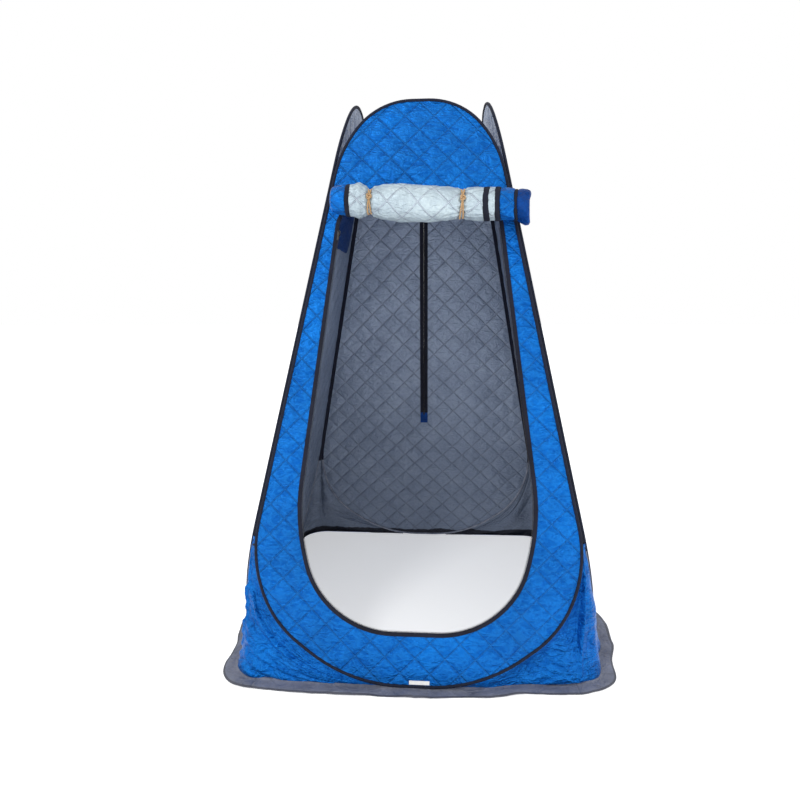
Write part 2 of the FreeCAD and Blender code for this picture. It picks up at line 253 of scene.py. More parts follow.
def blue_cloth(name, quilted):
    """Blue film-faced shell cloth: its gloss is tinted blue, and it's full of fine creases; fold crests get a
    painted highlight, and when quilted the stitch grooves get painted shade.
    """
    m = Maker(name, Metallic=0.62, Specular_IOR_Level=0.12)
    place = m.place()
    broad = m.noise(place, 5.0, 3.0, 0.55)
    fine = m.noise(place, 60.0, 4.0, 0.6, 0.6)
    long_folds = m.wrinkles(9.0, 9.0, (1.0, 1.0, 1.5))
    folds = m.wrinkles(24.0)
    small = m.wrinkles(62.0, 5.0)
    tone = m.total((broad, 0.65), (fine, 0.35))
    colour = m.ramp(tone, [(0.30, (0.0002, 0.051, 0.243)), (0.52, (0.0003, 0.083, 0.370)),
                           (0.74, (0.0008, 0.138, 0.535))])
    # painted highlight: fold crests are mixed towards a lighter blue
    colour = m.mix(m.total((folds, 0.14), (small, 0.08)), colour, (0.03, 0.36, 0.95))
    height = m.total((folds, 0.75), (small, 0.35), (fine, 0.8), (long_folds, 0.6 if quilted else 1.6))
    if quilted:
        away, thread = m.stitches(QUILT_PITCH)
        groove_and_painted_shade = m.span(away, 0.0, 0.055, 1.0, 0.0)
        # painted shade: the stitch grooves are mixed towards dark navy, and they also sink in the bump
        colour = m.mix(m.times(groove_and_painted_shade, 0.60), colour, (0.0003, 0.022, 0.130))
        colour = m.mix(m.times(thread, 0.40), colour, (0.04, 0.28, 0.72))
        height = m.math("SUBTRACT", height, m.times(groove_and_painted_shade, 0.9))
        height = m.math("ADD", height, m.times(thread, 0.3))
    m.colour(colour)
    m.roughness(fine, 0.30, 0.46)
    m.normal(m.bump(height, 0.60 if quilted else 0.75, 0.004, m.woven_bump(place, 5200.0, 0.10)))
    return m.material


def silver_cloth(name, quilted, painted_light_level, blue=1.0, foot=False):
    """Silver-coated inner cloth, crumpled like foil, at a painted light level that stands for how lit or
    shaded it is; its stitch grooves get painted shade, and with foot set it gets painted shade darkening it
    towards the floor, and at the foot of the cabin it ends in a black hem.
    """
    m = Maker(name, Metallic=0.35, Specular_IOR_Level=0.35)
    place = m.place()
    broad = m.noise(place, 7.0, 3.0, 0.55)
    fine = m.noise(place, 70.0, 4.0, 0.65, 0.5)
    folds = m.wrinkles(22.0)
    small = m.wrinkles(60.0, 5.0)
    tone = m.total((broad, 0.5), (fine, 0.5))
    tints = [(0.30, (0.28, 0.345, 0.48)), (0.52, (0.39, 0.47, 0.63)), (0.75, (0.53, 0.62, 0.78))]
    tints = [(at, (r * painted_light_level, g * painted_light_level, b * painted_light_level * blue)) for at, (r, g, b) in tints]
    colour = m.ramp(tone, tints)
    height = m.total((folds, 0.7), (small, 0.35), (fine, 1.0))
    if quilted:
        away, thread = m.stitches(QUILT_PITCH)
        groove_and_painted_shade = m.span(away, 0.0, 0.05, 1.0, 0.0)
        painted_groove_shade = tuple(c * painted_light_level for c in (0.12, 0.14, 0.20))
        thread_tint = tuple(c * painted_light_level for c in (0.75, 0.80, 0.9))
        # painted shade: the stitch grooves are mixed towards dark grey, scaled by the painted light level
        colour = m.mix(m.times(groove_and_painted_shade, 0.62), colour, painted_groove_shade)
        colour = m.mix(m.times(thread, 0.4), colour, thread_tint)
        height = m.math("SUBTRACT", height, m.times(groove_and_painted_shade, 0.9))
    if foot:
        height_up = m.axes(place)[2]
        # painted shade: the cloth darkens towards the floor, from a 0.62 mix of dark grey-blue at the floor
        # to none 1.1 m up; the next lines paint the black hem band
        colour = m.mix(m.span(height_up, 0.0, 1.1, 0.62, 0.0), colour, (0.045, 0.062, 0.10))
        edge = m.math("ADD", height_up, m.times(m.noise(place, 9.0), -0.05))
        colour = m.mix(m.span(edge, 0.006, 0.011, 1.0, 0.0), colour, (0.006, 0.008, 0.018))
    m.colour(colour)
    m.roughness(fine, 0.32, 0.52)
    m.normal(m.bump(height, 0.7, 0.0035, m.woven_bump(place, 5200.0, 0.08)))
    return m.material


def sleeve_material(plane):
    """Navy-black hem sleeve; low down, its inner half is faced with the silver lining."""
    m = Maker("sleeve_" + plane, Specular_IOR_Level=0.2)
    place = m.place()
    fine = m.noise(place, 120.0, 3.0)
    dark = m.ramp(fine, [(0.32, (0.003, 0.005, 0.014)), (0.68, (0.010, 0.014, 0.034))])
    out = m.add("VectorMath", output=1, inputs={0: place, 1: wall_normal(plane)}, operation="DOT_PRODUCT")
    inner = m.math("LESS_THAN", out, BASE_HALF * COS + 0.0006)
    low = m.math("LESS_THAN", m.axes(place)[2], 0.42)
    silver = m.ramp(m.noise(place, 40.0, 3.0), [(0.3, (0.14, 0.155, 0.20)), (0.7, (0.25, 0.27, 0.33))])
    m.colour(m.mix(m.times(inner, low), dark, silver))
    m.roughness(fine, 0.62, 0.78)
    height = m.math("ADD", m.wrinkles(30.0), m.noise(place, 16.0))
    m.normal(m.bump(height, 0.4, 0.002, m.woven_bump(place, 2600.0, 0.3)))
    return m.material


def plain_cloth(name, dark, light, rough=0.75, weave=3400.0, crease=0.3, **sockets):
    """Woven cloth or tape with a visible thread and small creases."""
    m = Maker(name, **sockets)
    place = m.place()
    fine = m.noise(place, 120.0, 3.0)
    broad = m.noise(place, 16.0, 3.0)
    tone = m.total((fine, 0.4), (broad, 0.6))
    m.colour(m.ramp(tone, [(0.32, dark), (0.68, light)]))
    m.roughness(fine, rough - 0.08, rough + 0.08)
    m.normal(m.bump(m.math("ADD", m.wrinkles(20.0), broad), crease, 0.003, m.woven_bump(place, weave, 0.35)))
    return m.material


def skirt_material():
    """Grey coated cloth with a darker hem along its outer edge."""
    m = Maker("skirt_cloth", Coat_Weight=0.08)
    place = m.place()
    out = m.axes(m.uv())[1]
    broad = m.noise(place, 14.0, 4.0, 0.6)
    fine = m.noise(place, 140.0, 3.0)
    tone = m.total((broad, 0.7), (fine, 0.3))
    colour = m.ramp(tone, [(0.3, (0.085, 0.095, 0.135)), (0.7, (0.20, 0.215, 0.275))])
    hem = m.span(out, 0.86, 0.90, 0.0, 0.75)
    m.colour(m.mix(hem, colour, (0.030, 0.032, 0.045)))
    m.roughness(fine, 0.5, 0.7)
    height = m.math("ADD", m.wrinkles(20.0), broad)
    stitch = m.math("LESS_THAN", m.math("ABSOLUTE", m.math("SUBTRACT", out, 0.87)), 0.012)
    height = m.math("SUBTRACT", height, m.times(stitch, 0.6))
    m.normal(m.bump(height, 0.6, 0.003, m.woven_bump(place, 3800.0, 0.3)))
    return m.material


def metal_material(name, colour, rough, metallic):
    """Metal, or moulded nylon when it isn't metallic, with a fine grain."""
    m = Maker(name, Metallic=metallic)
    place = m.place()
    grain = m.noise(place, 260.0, 3.0)
    m.colour(m.mix(m.times(grain, 0.5), colour, tuple(c * 1.6 + 0.01 for c in colour)))
    m.roughness(grain, rough - 0.06, rough + 0.1)
    m.normal(m.bump(grain, 0.15, 0.0004))
    return m.material


def cord_material():
    """Tan two-ply cord."""
    m = Maker("tie_cord", Sheen_Weight=0.2)
    place = m.place()
    fibre = m.noise(place, 900.0, 3.0)
    m.colour(m.ramp(fibre, [(0.3, (0.30, 0.165, 0.065)), (0.7, (0.62, 0.40, 0.20))]))
    m.roughness(fibre, 0.6, 0.8)
    m.normal(m.bump(fibre, 0.5, 0.0006))
    return m.material


def floor_material():
    """Pale floor that gives off some light of its own, so that it meets the white world."""
    m = Maker("studio_floor", Emission_Color=(1, 1, 1, 1), Emission_Strength=0.45)
    grain = m.noise(m.place(), 30.0, 2.0)
    m.colour(m.ramp(grain, [(0.3, (0.965, 0.965, 0.965)), (0.7, (0.98, 0.98, 0.98))]))
    m.roughness(grain, 0.75, 0.85)
    return m.material


def make_materials():
    """Every look, by the name of the material slot or piece that it is for."""
    black = {"dark": (0.003, 0.004, 0.010), "light": (0.010, 0.012, 0.026), "Specular_IOR_Level": 0.2}
    return {
        "quilt_outer": blue_cloth("quilt_outer", True),
        "gusset_cloth": blue_cloth("gusset_cloth", False),
        # painted light: these three are one silver cloth at different painted light levels; the wall lining
        # (0.78) and the corner and roof insides (0.62) are painted-shade copies, and the rolled door (1.12,
        # less blue) is a painted-lit copy
        "lining": silver_cloth("lining", True, 0.78, foot=True),
        "roll": silver_cloth("lining_lit", True, 1.12, 0.82),
        "silver": silver_cloth("silver_plain_painted_shade", False, 0.62, foot=True),
        "binding": plain_cloth("binding", **black, rough=0.6, weave=2600.0),
        "skirt_cloth": skirt_material(),
        "spring_steel": metal_material("spring_steel", (0.42, 0.42, 0.44), 0.32, 1.0),
        "zip_tape": plain_cloth("zip_tape", **black, rough=0.7, weave=4200.0, crease=0.1),
        "zip_teeth": metal_material("zip_teeth", (0.008, 0.008, 0.010), 0.42, 0.0),
        "zip_metal": metal_material("zip_metal", (0.012, 0.012, 0.014), 0.28, 0.6),
        "tie_cord": cord_material(),
        "unlined_cloth": plain_cloth("unlined_cloth", (0.0005, 0.022, 0.120), (0.001, 0.055, 0.270),
                                     rough=0.5, crease=0.5, Specular_IOR_Level=0.15, Metallic=0.3),
        "label": plain_cloth("label", (0.72, 0.72, 0.72), (0.85, 0.85, 0.84), rough=0.6, crease=0.1),
    }


# ---------------------------------------------------------------- shape helpers

def smooth(value, low, high):
    t = np.clip((value - low) / (high - low), 0, 1)
    return t * t * (3 - 2 * t)


def eased(stops, at):
    """Value at a place between (place, value) stops, eased from each stop to the next."""
    stops = np.array(stops)
    spot = np.clip(np.searchsorted(stops[:, 0], at) - 1, 0, len(stops) - 2)
    t = np.clip((at - stops[spot, 0]) / (stops[spot + 1, 0] - stops[spot, 0]), 0, 1)
    t = t * t * (3 - 2 * t)
    return stops[spot, 1] * (1 - t) + stops[spot + 1, 1] * t


def run_length(path):
    """Distance along a path at each of its points."""
    return np.concatenate([[0], np.cumsum(np.linalg.norm(np.diff(path, axis=0), axis=1))])


def noise2(x, y, scale, seed):
    """Smooth value noise from -1 to 1 over a plane."""
    size = 64
    table = np.random.default_rng(seed).uniform(-1, 1, (size, size))
    fx, fy = np.asarray(x) / scale, np.asarray(y) / scale
    ix, iy = np.floor(fx).astype(int), np.floor(fy).astype(int)
    tx, ty = fx - ix, fy - iy
    tx, ty = tx * tx * (3 - 2 * tx), ty * ty * (3 - 2 * ty)

    def pick(a, b):
        return table[(ix + a) % size, (iy + b) % size]

    low = pick(0, 0) * (1 - tx) + pick(1, 0) * tx
    high = pick(0, 1) * (1 - tx) + pick(1, 1) * tx
    return low * (1 - ty) + high * ty


def crumple(x, y, scale, seed):
    """Ridged noise, from 0 in the flats to 1 on sharp folds."""
    total, weight = np.zeros(np.shape(x)), 0.0
    for octave in range(3):
        size = scale / 2**octave
        turned_x, turned_y = x * 0.8 + y * 0.6, y * 0.8 - x * 0.6
        x, y = turned_x, turned_y
        ridge = (1 - np.abs(noise2(x, y, size, seed + octave))) ** 4
        total = total + ridge / 2**octave
        weight += 1 / 2**octave
    return total / weight


def side_u(v):
    """Half width of a hoop's straight stretch at v up the wall."""
    return BASE_HALF - math.sqrt(2) * HINGE_ARM - v * SIN


def door_u(v):
    """Half width of the doorway's straight stretch."""
    return DOOR_SIDE[0] + DOOR_FLARE * (DOOR_SIDE[1] - v)


def mirrored(half):
    return half + [(-u, v, cut) for u, v, cut in reversed(half)]


def hoop_outline(top):
    """Corners of a hoop's centre line as u, v and the length rounded off each side."""
    shoulder = top - 0.1574
    return mirrored(
        [
            (0.2020, HOOP_LOW, 0.160),
            (0.4556, 0.1913, 0.110),
            (side_u(0.400), 0.400, 0.105),
            (side_u(shoulder), shoulder, 0.090),
            (side_u(shoulder) - 0.1229, top, 0.108),
        ]
    )


def door_outline():
    return mirrored(
        [
            (0.171, DOOR_LOW, 0.100),
            (0.3198, 0.2918, 0.090),
            (door_u(0.5147), 0.5147, 0.120),
            (door_u(DOOR_TOP), DOOR_TOP, 0.090),
        ]
    )


def loop_points(outline, inset, step):
    """Even points along an outline of straight runs and tangent arcs, moved inwards by an inset."""
    corners = [np.array(c[:2]) for c in outline]
    line = []
    for i, corner in enumerate(corners):
        cut = outline[i][2]
        came = corner - corners[i - 1]
        goes = corners[(i + 1) % len(corners)] - corner
        came, goes = came / np.linalg.norm(came), goes / np.linalg.norm(goes)
        half_turn = math.acos(np.clip(came @ goes, -1, 1)) / 2
        radius = cut / math.tan(half_turn)
        inward = (goes - came) / np.linalg.norm(goes - came)
        centre = corner + inward * radius / math.cos(half_turn)
        normal = np.array([-came[1], came[0]])
        start = math.atan2(-normal[1], -normal[0])
        count = max(3, int(2 * half_turn * radius / (step / 2)))
        for t in np.linspace(0, 2 * half_turn, count + 1):
            line.append(centre + (radius - inset) * np.array([math.cos(start + t), math.sin(start + t)]))
    line = np.array(line + line[:1])
    lengths = run_length(line)
    count = int(lengths[-1] / step)
    even = np.linspace(0, lengths[-1], count, endpoint=False)
    return np.stack([np.interp(even, lengths, line[:, k]) for k in (0, 1)], axis=1)


def box_points(half, low, high, step):
    """Even points round an upright rectangle."""
    corners = np.array([(-half, low), (half, low), (half, high), (-half, high)])
    sides = []
    for a, b in zip(corners, np.roll(corners, -1, axis=0)):
        count = max(2, int(np.linalg.norm(b - a) / step))
        sides += [a + (b - a) * t for t in np.linspace(0, 1, count, endpoint=False)]
    return np.array(sides)


def past_box(u, v, half, low, high):
    """Distance outside an upright rectangle."""
    return np.hypot(np.maximum(np.abs(u) - half, 0), np.maximum(np.maximum(low - v, v - high), 0))


def inside(points, ring):
    """Whether each point lies inside a closed ring, by crossings."""
    found = np.zeros(len(points), bool)
    x, y = points[:, 0], points[:, 1]
    for (x0, y0), (x1, y1) in zip(ring, np.roll(ring, -1, axis=0)):
        crosses = (y0 > y) != (y1 > y)
        if y1 != y0:
            found ^= crosses & (x < (x1 - x0) * (y - y0) / (y1 - y0) + x0)
    return found


def distance_to(points, ring):
    """Distance from each point to the nearest point of a ring."""
    best = np.full(len(points), np.inf)
    for start in range(0, len(ring), 64):
        part = ring[start:start + 64]
        gap = ((points[:, None, :] - part[None]) ** 2).sum(axis=2).min(axis=1)
        best = np.minimum(best, gap)
    return np.sqrt(best)


def to_row(uvn, wall):
    """Points of a wall's own frame in the row frame."""
    u, v, n = uvn[:, 0], uvn[:, 1], uvn[:, 2]
    return turned(np.stack([u, -BASE_HALF + v * SIN - n * COS, v * COS + n * SIN], axis=1), wall)


def turned(points, wall):
    """Points given for the front wall's side, turned to another wall's."""
    turn = math.radians(TURNS[wall])
    c, s = math.cos(turn), math.sin(turn)
    x, y, z = points[:, 0], points[:, 1], points[:, 2]
    return np.stack([x * c - y * s, x * s + y * c, z], axis=1)


def wall_normal(wall):
    """Direction out of a wall."""
    turn = math.radians(TURNS[wall])
    return (math.sin(turn) * COS, -math.cos(turn) * COS, SIN)


def vertex_normals(points, faces):
    """Area-weighted normals of a triangle mesh's points."""
    a, b, c = (points[faces[:, k]] for k in range(3))
    facing = np.cross(b - a, c - a)
    total = np.zeros_like(points)
    for k in range(3):
        np.add.at(total, faces[:, k], facing)
    return total / np.linalg.norm(total, axis=1)[:, None]


def double_faces(faces, count):
    """Faces of a thin closed shell: the front, the back with its own points, and the rim between them."""
    edges = np.concatenate([faces[:, [0, 1]], faces[:, [1, 2]], faces[:, [2, 0]]])
    here, back = edges[:, 0] * count + edges[:, 1], edges[:, 1] * count + edges[:, 0]
    rim = edges[~np.isin(here, back)]
    quads = np.stack([rim[:, 1], rim[:, 0], rim[:, 0] + count, rim[:, 1] + count], axis=1)
    return faces.tolist() + (faces[:, ::-1] + count).tolist() + quads.tolist()


def make_piece(name, points, faces, uv, body, materials, nodes=(), thickness=0.0, normals=None):
    """A mesh object with its UVs, materials and body, which hides the CAD nodes it stands for."""
    mesh = bpy.data.meshes.new(name)
    mesh.from_pydata(np.asarray(points).tolist(), [], [list(f) for f in faces])
    layer = mesh.uv_layers.new(name="cloth")
    corner_of = np.zeros(len(mesh.loops), np.int32)
    mesh.loops.foreach_get("vertex_index", corner_of)
    layer.data.foreach_set("uv", np.asarray(uv, np.float32)[corner_of].ravel())
    for material in materials:
        mesh.materials.append(material)
    mesh.shade_smooth()
    if normals is not None:
        mesh.normals_split_custom_set_from_vertices(normals.tolist())
    piece = bpy.data.objects.new(name, mesh)
    bpy.context.collection.objects.link(piece)
    if thickness:
        shell = piece.modifiers.new("cloth", "SOLIDIFY")
        shell.thickness, shell.offset = thickness, -1.0
        shell.use_even_offset = False
        if len(materials) > 1:
            shell.material_offset = 1
    if body:
        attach(piece, body)
    if nodes:
        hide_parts(*nodes)
    return piece


def grid_faces(rows, columns, closed=False):
    """Quads of a grid of points listed row by row; a closed grid joins its last column to its first."""
    last = columns if closed else columns - 1
    return [
        (r * columns + c, r * columns + (c + 1) % columns,
         (r + 1) * columns + (c + 1) % columns, (r + 1) * columns + c)
        for r in range(rows - 1) for c in range(last)
    ]


# ---------------------------------------------------------------- quilted walls

def quilt_grid(ring, holes, step):
    """Triangles of a flat sheet whose points lie along the diamond stitch lines."""
    count = int(2.2 / step)  # past the tallest wall's top
    i, j = np.meshgrid(np.arange(-count, count), np.arange(-count, count), indexing="ij")
    a, b = i.ravel() * step, j.ravel() * step
    lattice = np.stack([(a - b) / math.sqrt(2), (a + b) / math.sqrt(2)], axis=1)
    low, high = ring.min(axis=0), ring.max(axis=0)
    lattice = lattice[((lattice > low) & (lattice < high)).all(axis=1)]
    keep = inside(lattice, ring)
    for hole in holes:
        keep &= ~inside(lattice, hole)
    lattice = lattice[keep]
    rings = [ring, *holes]
    lattice = lattice[np.min([distance_to(lattice, r) for r in rings], axis=0) > step * 0.5]
    edges, start = [], 0
    for r in rings:
        edges += [(start + k, start + (k + 1) % len(r)) for k in range(len(r))]
        start += len(r)
    points = [Vector(p) for p in np.concatenate(rings + [lattice]).tolist()]
    found = geometry.delaunay_2d_cdt(points, edges, [], 0, 1e-7, False)
    flat = np.array([(p.x, p.y) for p in found[0]])
    faces = np.array(found[2])
    centres = flat[faces].mean(axis=1)
    kept = inside(centres, ring)
    for hole in holes:
        kept &= ~inside(centres, hole)
    return flat, faces[kept]


def wall_slack(u, v, seed):
    """How the whole wall bellies in and out between its stretched edges."""
    return 0.0050 * noise2(u, v, 0.26, seed) + 0.0022 * noise2(u, v, 0.11, seed + 1)


def quilt_height(u, v, away, seed):
    """Puffed diamonds between stitch lines, pressed flat towards an edge, with fine creases."""
    a, b = (u + v) / math.sqrt(2) / QUILT_PITCH, (v - u) / math.sqrt(2) / QUILT_PITCH
    dome = (np.abs(np.sin(np.pi * a)) * np.abs(np.sin(np.pi * b))) ** 0.42
    tuft = 0.75 + 0.25 * noise2(u, v, 0.09, seed + 5)
    pull = smooth(away, 0.0, 0.030)
    gather = 0.0009 * noise2(u, v, 0.018, seed + 6) * (1 - smooth(away, 0.0, 0.06))
    creases = 0.0011 * crumple(u, v, 0.055, seed + 7) + 0.0006 * noise2(u, v, 0.017, seed + 8)
    return 0.0056 * dome * tuft * pull + (creases + gather) * (0.35 + 0.65 * pull)


def quilted_wall(wall, looks):
    """The outer cloth and the silver lining of one wall."""
    step = QUILT_STEP * 1
    seed = 10 * (1 + list(TURNS).index(wall))
    ring = loop_points(hoop_outline(TOPS[wall]), EDGE, step)
    holes = []
    if wall == "front":
        holes = [loop_points(door_outline(), 0.0, step)]
    if wall == "rear":
        holes = [box_points(ZIP_SLIT_HALF, ZIP_LOW + 0.005, ZIP_HIGH - 0.005, step)]
    flat, faces = quilt_grid(ring, holes, step)
    u, v = flat[:, 0], flat[:, 1]
    rim = distance_to(flat, ring)
    hole = distance_to(flat, holes[0]) if holes else np.full(len(flat), 1.0)
    slack = wall_slack(u, v, seed) * smooth(rim, 0.0, 0.12) * smooth(hole, 0.015, 0.12)
    for side, node, slot in ((1, f"{wall}_quilt", "quilt_outer"), (-1, f"{wall}_lining", "lining")):
        away = np.minimum(rim, np.maximum(hole - (0.013 if wall == "front" and side > 0 else 0.0), 0))
        if wall == "rear":
            away = np.minimum(rim, past_box(u, v, ZIP_TAPE_HALF, ZIP_LOW - ZIP_PATCH, ZIP_HIGH))
        keep_in = 1.0
        if wall == "left" and side < 0:
            keep_in = smooth(past_box(u, v, *VENT), 0.0, 0.03)
        n = slack * keep_in + side * (0.0009 + quilt_height(u, v, away, seed + 3 * side) * keep_in)
        if wall == "front":
            label = (np.abs(u - LABEL_AT) < 0.04) & (v < LABEL_TOP)
            n = np.where(label, np.minimum(n, 0.0022), n)
        shaped = to_row(np.stack([u, v, n], axis=1), wall)
        under = to_row(np.stack([u, v, n - side * 0.0007], axis=1), wall)
        turned_faces = faces if side > 0 else faces[:, ::-1]
        facing = vertex_normals(shaped, turned_faces)
        for cut, kept in wall_cuts(wall, flat, faces):
            used, compact = np.unique(turned_faces[kept], return_inverse=True)
            name = f"{wall}_{cut}{'shell' if side > 0 else 'inner'}_cloth"
            both = double_faces(compact.reshape(-1, 3), len(used))
            piece = make_piece(name, np.concatenate([shaped[used], under[used]]), both,
                               np.concatenate([flat[used], flat[used]]), f"{wall}_wall", [looks[slot]],
                               [node], normals=np.concatenate([facing[used], -facing[used]]))


def wall_cuts(wall, flat, faces):
    """The flat cuts of a wall's cloth: one, or the front's four round its doorway, joined on stitch lines."""
    if wall != "front":
        return [("", np.ones(len(faces), bool))]
    line = math.sqrt(2) * QUILT_PITCH
    u, v = flat[faces].mean(axis=1).T
    strip = (v + np.abs(u) > 7 * line) & (v - np.abs(u) < 13 * line)
    upper = ~strip & (v > 1.2)
    return [("left_", strip & (u < 0)), ("right_", strip & (u >= 0)), ("upper_", upper),
            ("lower_", ~strip & ~upper)]


# ---------------------------------------------------------------- foot, corner cloth and skirt

# How far the cloth's foot strays from a rounded square, by direction from the front, anticlockwise.
FOOT_STRAY = [(-180, 0.0), (-135, 0.004), (-90, -0.002), (-68, -0.004), (-52, -0.032), (-42, -0.018),
              (-27, -0.006), (0, -0.006), (18, -0.016), (32, -0.044), (42, -0.058), (52, -0.020),
              (62, 0.022), (71, 0.034), (81, 0.014), (90, 0.0), (135, 0.006), (180, 0.0)]


def foot_stray(angle):
    return eased(FOOT_STRAY, (np.asarray(angle) + 180) % 360 - 180)


def foot_line(s):
    """Plan points and outward directions of the foot, by distance s from the front wall's middle."""
    run = BASE_HALF - FOOT_ROUND
    lap = np.floor((s + run) / SIDE_LENGTH)
    t = s + run - lap * SIDE_LENGTH
    on_arc = t > 2 * run
    turn = np.where(on_arc, (t - 2 * run) / FOOT_ROUND, 0.0)
    x = np.where(on_arc, run + FOOT_ROUND * np.sin(turn), t - run)
    y = np.where(on_arc, -run - FOOT_ROUND * np.cos(turn), -BASE_HALF)
    out = np.stack([np.sin(turn), -np.cos(turn)], axis=-1)
    quarter_turn = lap * math.pi / 2
    c, r = np.cos(quarter_turn), np.sin(quarter_turn)
    point = np.stack([x * c - y * r, x * r + y * c], axis=-1)
    out = np.stack([out[..., 0] * c - out[..., 1] * r, out[..., 0] * r + out[..., 1] * c], axis=-1)
    return point, out


def strayed_foot(s):
    """The foot line as it really lies, and its outward directions."""
    point, out = foot_line(s)
    angle = np.degrees(np.arctan2(point[..., 0], -point[..., 1]))
    return point + out * foot_stray(angle)[..., None], out


def gusset(label, near, far, start, end, body, nodes, looks):
    """Loose cloth of a lower corner, from the hoops down to the floor; start and end run from 0 to 1."""
    columns, rows = ((150, 64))
    columns = int(columns * (end - start))
    ring = loop_points(hoop_outline(TOPS[near]), -SLEEVE_R * 0.6, 0.004)
    lower = ring[(ring[:, 0] > GUSSET_FROM) & (ring[:, 1] < GUSSET_TOP)]
    lower = lower[np.argsort(lower[:, 1])]
    span = run_length(lower)
    s = np.linspace(start, end, columns + 1)
    fold_from, fold_to = 0.47, 0.53  # where the cloth turns the corner
    near_share, far_share = np.clip(s / fold_from, 0, 1), np.clip((1 - s) / fold_from, 0, 1)

    def hoop_edge(share, mirror):
        along = share * span[-1]
        u = np.interp(along, span, lower[:, 0]) * mirror
        return np.stack([u, np.interp(along, span, lower[:, 1]), np.zeros(len(along))], axis=1)

    corner = TURNS[near] / 90
    top_near, top_far = to_row(hoop_edge(near_share, 1), near), to_row(hoop_edge(far_share, -1), far)
    across = smooth(s, fold_from, fold_to)[:, None]
    top = top_near * (1 - across) + top_far * across
    peak = np.sin(np.pi * np.clip((s - fold_from) / (fold_to - fold_from), 0, 1))[:, None]
    diagonal = turned(np.array([[1.0, -1.0, 0.0]]), near)[0] / math.sqrt(2)
    top = top + diagonal * 0.004 * peak
    foot_from = corner * SIDE_LENGTH + GUSSET_FROM
    foot_to = (corner + 1) * SIDE_LENGTH - GUSSET_FROM
    foot_s = foot_from + (foot_to - foot_from) * s
    plan, out = strayed_foot(foot_s)
    foot = np.concatenate([plan, np.full((len(s), 1), 0.0022)], axis=1)
    t = np.linspace(0, 1, rows + 1)[:, None]
    grid = foot[None] * (1 - t[..., None]) + top[None] * t[..., None]
    out3 = np.concatenate([out, np.zeros((len(s), 1))], axis=1)
    tall = np.linalg.norm(top - foot, axis=1)
    loose = np.clip(tall / 0.30, 0, 1)[None]
    seed = 100 + int(corner) * 17
    column, height = np.meshgrid(foot_s, t[:, 0])
    rise = height * tall[None]
    belly = np.sin(np.pi * height) ** 0.8
    flare = np.exp(-rise / 0.05)
    pleat = noise2(column * (1.0 + 0.35 * height), rise * 0.25, 0.055, seed)
    pleat_fine = noise2(column * (1.0 + 0.35 * height), rise * 0.4, 0.024, seed + 1)
    creases = crumple(column, rise, 0.15, seed + 2)
    bulge = 0.021 * noise2(column, rise * 0.6, 0.15, seed + 3)
    fold = np.exp(-((s - 0.44 - 0.03 * height) / 0.012) ** 2)
    relief = bulge + 0.0090 * pleat + 0.0012 * pleat_fine + 0.003 * creases + 0.010 * fold
    push = belly * loose * relief
    push = push + flare * loose * (0.006 + 0.006 * pleat) * smooth(height, 0.0, 0.02)
    if label == "front_right":
        sunk = smooth(s, 0.10, 0.24) * (1 - smooth(s, 0.40, 0.47))
        push = push - 0.030 * sunk * np.sin(np.pi * height) ** 1.2
    push[-1] = 0
    push[0] = 0
    grid = grid + out3[None] * push[..., None]
    points = grid.reshape(-1, 3)
    points[:, 2] = np.maximum(points[:, 2], 0.0015)
    uv = np.stack([column, rise], axis=-1).reshape(-1, 2)
    name = f"{nodes[0]}_{int(start * 100)}_cloth"
    piece = make_piece(name, points, grid_faces(rows + 1, columns + 1), uv, body,
                       [looks["gusset_cloth"], looks["silver"]], nodes, thickness=0.0012)
    return piece


def skirt_part(name, start, end, body, nodes, looks):
    """A stretch of the grey skirt on the floor, between two distances round the foot."""
    step = 0.006
    count = max(4, int((end - start) / step))
    rows = 14
    s = np.linspace(start, end, count + 1)
    plan, out = strayed_foot(s)
    t = np.linspace(0, 1, rows + 1)
    lap = s % ROUND
    wide = 0.051 + 0.004 * noise2(lap, 0 * lap, 0.16, 300) + 0.002 * noise2(lap, 0 * lap, 0.045, 301)
    angle = np.degrees(np.arctan2(plan[:, 0], -plan[:, 1]))
    inner = -0.002 - np.maximum(foot_stray(angle), 0)
    reach = inner[None] + (wide - inner)[None] * t[:, None]
    spot = plan[None] + out[None] * reach[..., None]
    wave = 0.5 + 0.5 * noise2(lap, 0 * lap, 0.075, 302)
    small = 0.5 + 0.5 * noise2(lap, 0 * lap, 0.028, 303)
    lift = 0.0012 + t[:, None] * (0.0085 * wave + 0.0030 * small)[None] * (0.6 + 0.4 * np.sin(3 * t)[:, None])
    lift = lift + 0.006 * np.exp(-t[:, None] / 0.10)
    lift = lift + 0.0012 * crumple(lap[None] + 0 * t[:, None], reach, 0.03, 304)
    lift = lift - 0.0035 * smooth(t, 0.86, 1.0)[:, None] * wave[None]
    grid = np.concatenate([spot, np.maximum(lift, 0.0012)[..., None]], axis=-1)
    points = grid.reshape(-1, 3)
    uv = np.stack(np.broadcast_arrays(s[None], t[:, None]), axis=-1).reshape(-1, 2)
    faces = [f[::-1] for f in grid_faces(rows + 1, count + 1)]
    piece = make_piece(name, points, faces, uv, body, [looks["skirt_cloth"]], nodes,
                       thickness=0.0008)
    return piece


def blend_corner(piece):
    """Bakes a corner cloth's placement into its points."""
    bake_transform(piece)


